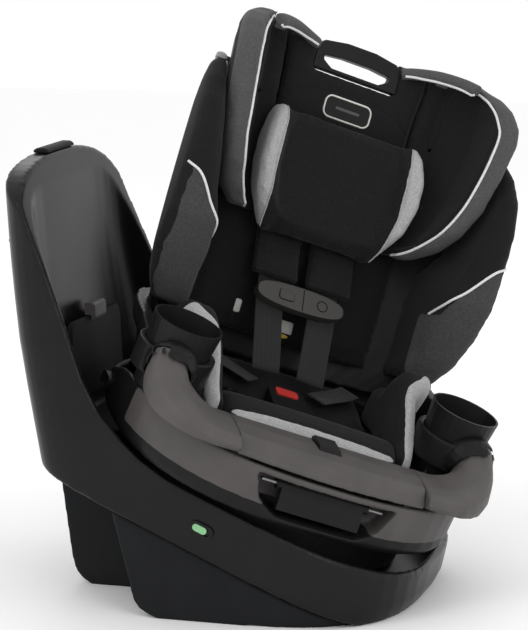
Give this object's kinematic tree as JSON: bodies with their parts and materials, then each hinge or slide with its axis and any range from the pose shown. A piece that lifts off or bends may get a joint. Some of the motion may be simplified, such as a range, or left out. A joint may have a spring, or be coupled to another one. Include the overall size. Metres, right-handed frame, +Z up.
{
  "type": "convertible car seat",
  "caption": "Convertible child car seat on a tilted swivel base: padded reclining seat with harness, sliding headrest, cup holders and a tall rear panel.",
  "frame": {"origin": "on the flat underside of the base housing, below the swivel centre", "axes": "+X towards the front of the base, +Z up, the tall rear panel at -X"},
  "size_m": [0.5907, 0.591, 0.7078],
  "materials": {
    "gloss_black": "glossy black moulded plastic",
    "matt_black": "fine-textured dark grey plastic",
    "warm_grey": "smooth warm grey plastic",
    "satin_black": "satin black plastic",
    "black_cloth": "fine black knit over foam",
    "grey_cloth": "mid grey knit with black edge and white piping",
    "silver_plastic": "satin silver plastic",
    "webbing": "dark grey ribbed webbing",
    "buckle_grey": "dark grey-brown plastic",
    "red_plastic": "red plastic",
    "green_plastic": "green plastic",
    "steel": "plain steel",
    "nylon": "natural nylon"
  },
  "bodies": {
    "base": {"base_shell": "gloss_black", "base_housing": "matt_black", "rear_foot": "matt_black", "panel_rear_cover": "matt_black", "panel_top_cap": "matt_black", "bearing_race": "nylon", "hub_retainer": "steel", "indicator_bezel": "gloss_black", "lockoff_pin": "steel"},
    "lockoff": {"lockoff_door": "matt_black"},
    "lockoff_catch": {"lockoff_latch": "warm_grey"},
    "indicator": {"lock_indicator": "green_plastic"},
    "carriage": {"turntable": "satin_black", "swivel_hub": "steel", "carriage_skirt": "warm_grey", "recline_rail_R": "steel", "recline_rail_L": "steel", "lock_spring": "steel", "recline_lever_pin": "steel"},
    "lock": {"lock_pin": "steel"},
    "recline_handle": {"recline_lever": "satin_black"},
    "release_R": {"rotation_lever_R": "satin_black"},
    "release_L": {"rotation_lever_L": "satin_black"},
    "seat": {"seat_shell": "satin_black", "bumper": "warm_grey", "arm_R": "warm_grey", "arm_L": "warm_grey", "cup_collar_R": "satin_black", "cup_collar_L": "satin_black", "seat_pad": "black_cloth", "back_pad": "black_cloth", "torso_bolster_R": "grey_cloth", "torso_bolster_L": "grey_cloth", "thigh_bolster_R": "black_cloth", "thigh_bolster_L": "black_cloth", "wing_cap_R": "silver_plastic", "wing_cap_L": "silver_plastic", "shoulder_strap_R": "webbing", "shoulder_strap_L": "webbing", "lap_strap_R": "webbing", "lap_strap_L": "webbing", "crotch_strap": "webbing", "buckle": "satin_black", "chest_clip": "buckle_grey"},
    "cup_R": {"cup_holder_R": "satin_black"},
    "cup_L": {"cup_holder_L": "satin_black"},
    "harness_button": {"harness_release": "satin_black"},
    "buckle_press": {"buckle_button": "red_plastic"},
    "clip_press": {"chest_clip_button": "buckle_grey"},
    "headrest": {"headrest_shell": "satin_black", "headrest_wing_R": "grey_cloth", "headrest_wing_L": "grey_cloth", "headrest_pad": "black_cloth", "head_pillow": "black_cloth", "headrest_handle": "satin_black", "headrest_badge": "satin_black", "shoulder_pad_R": "black_cloth", "shoulder_pad_L": "black_cloth"},
    "headrest_squeeze": {"headrest_trigger": "matt_black"}
  },
  "joints": [
    {"name": "lockoff_hinge", "type": "hinge", "parent": "base", "child": "lockoff", "pos_m": [-0.2244, 0, 0.2384], "axis": [0, 1, 0], "range_deg": [0, 15]},
    {"name": "lockoff_latch_lift", "type": "slide", "parent": "lockoff", "child": "lockoff_catch", "axis": [-0.0523, 0, 0.9986], "range_m": [0, 0.005], "stiffness_N_per_m": 300, "springref_m": -0.004},
    {"name": "indicator_slide", "type": "slide", "parent": "base", "child": "indicator", "axis": [0.9135, 0, -0.4067], "range_m": [0, 0.0045]},
    {"name": "swivel", "type": "hinge", "parent": "base", "child": "carriage", "pos_m": [0.005, 0, 0.145], "axis": [0.4067, 0, 0.9135], "continuous": true},
    {"name": "lock_pin_lift", "type": "slide", "parent": "carriage", "child": "lock", "axis": [0.4067, 0, 0.9135], "range_m": [0, 0.0101], "stiffness_N_per_m": 400, "springref_m": -0.002, "deforming": ["lock_spring"]},
    {"name": "recline_lever_pull", "type": "hinge", "parent": "carriage", "child": "recline_handle", "pos_m": [0.1179, -0.15859, 0.15494], "axis": [-0.7747, -0.5299, 0.3449], "range_deg": [0, 20], "stiffness_Nm_per_rad": 0.6, "springref_deg": -8.59},
    {"name": "rotation_pull_R", "type": "slide", "parent": "carriage", "child": "release_R", "axis": [0.7747, 0.5299, -0.3449], "range_m": [0, 0.008], "stiffness_N_per_m": 500, "springref_m": -0.003},
    {"name": "rotation_pull_L", "type": "slide", "parent": "carriage", "child": "release_L", "axis": [-0.7747, -0.5299, 0.3449], "range_m": [0, 0.008], "stiffness_N_per_m": 500, "springref_m": -0.003},
    {"name": "recline", "type": "hinge", "parent": "carriage", "child": "seat", "pos_m": [0.17932, 0.05088, 0.61471], "axis": [-0.7747, -0.5299, 0.3449], "range_deg": [0, 8]},
    {"name": "cup_lift_R", "type": "slide", "parent": "seat", "child": "cup_R", "axis": [0.4067, 0, 0.9135], "range_m": [0, 0.1]},
    {"name": "cup_lift_L", "type": "slide", "parent": "seat", "child": "cup_L", "axis": [0.4067, 0, 0.9135], "range_m": [0, 0.1]},
    {"name": "harness_release_press", "type": "slide", "parent": "seat", "child": "harness_button", "axis": [-0.4067, 0, -0.9135], "range_m": [0, 0.004], "stiffness_N_per_m": 800, "springref_m": -0.002},
    {"name": "buckle_press", "type": "slide", "parent": "seat", "child": "buckle_press", "axis": [-0.4702, 0.118, -0.8747], "range_m": [0, 0.002], "stiffness_N_per_m": 1500, "springref_m": -0.001},
    {"name": "chest_clip_press", "type": "slide", "parent": "seat", "child": "clip_press", "axis": [-0.6289, 0.5891, -0.5074], "range_m": [0, 0.003], "stiffness_N_per_m": 800, "springref_m": -0.001},
    {"name": "headrest_lift", "type": "slide", "parent": "seat", "child": "headrest", "axis": [0.1747, 0.3449, 0.9222], "range_m": [0, 0.12]},
    {"name": "headrest_trigger_squeeze", "type": "slide", "parent": "headrest", "child": "headrest_squeeze", "axis": [-0.1747, -0.3449, -0.9222], "range_m": [0, 0.005], "stiffness_N_per_m": 600, "springref_m": -0.003}
  ],
  "couplings": [
    {"joint": "rotation_pull_L", "follows": "rotation_pull_R", "ratio": 1},
    {"joint": "lock_pin_lift", "follows": "rotation_pull_R", "ratio": 1.25},
    {"joint": "indicator_slide", "follows": "rotation_pull_R", "ratio": 0.55}
  ]
}
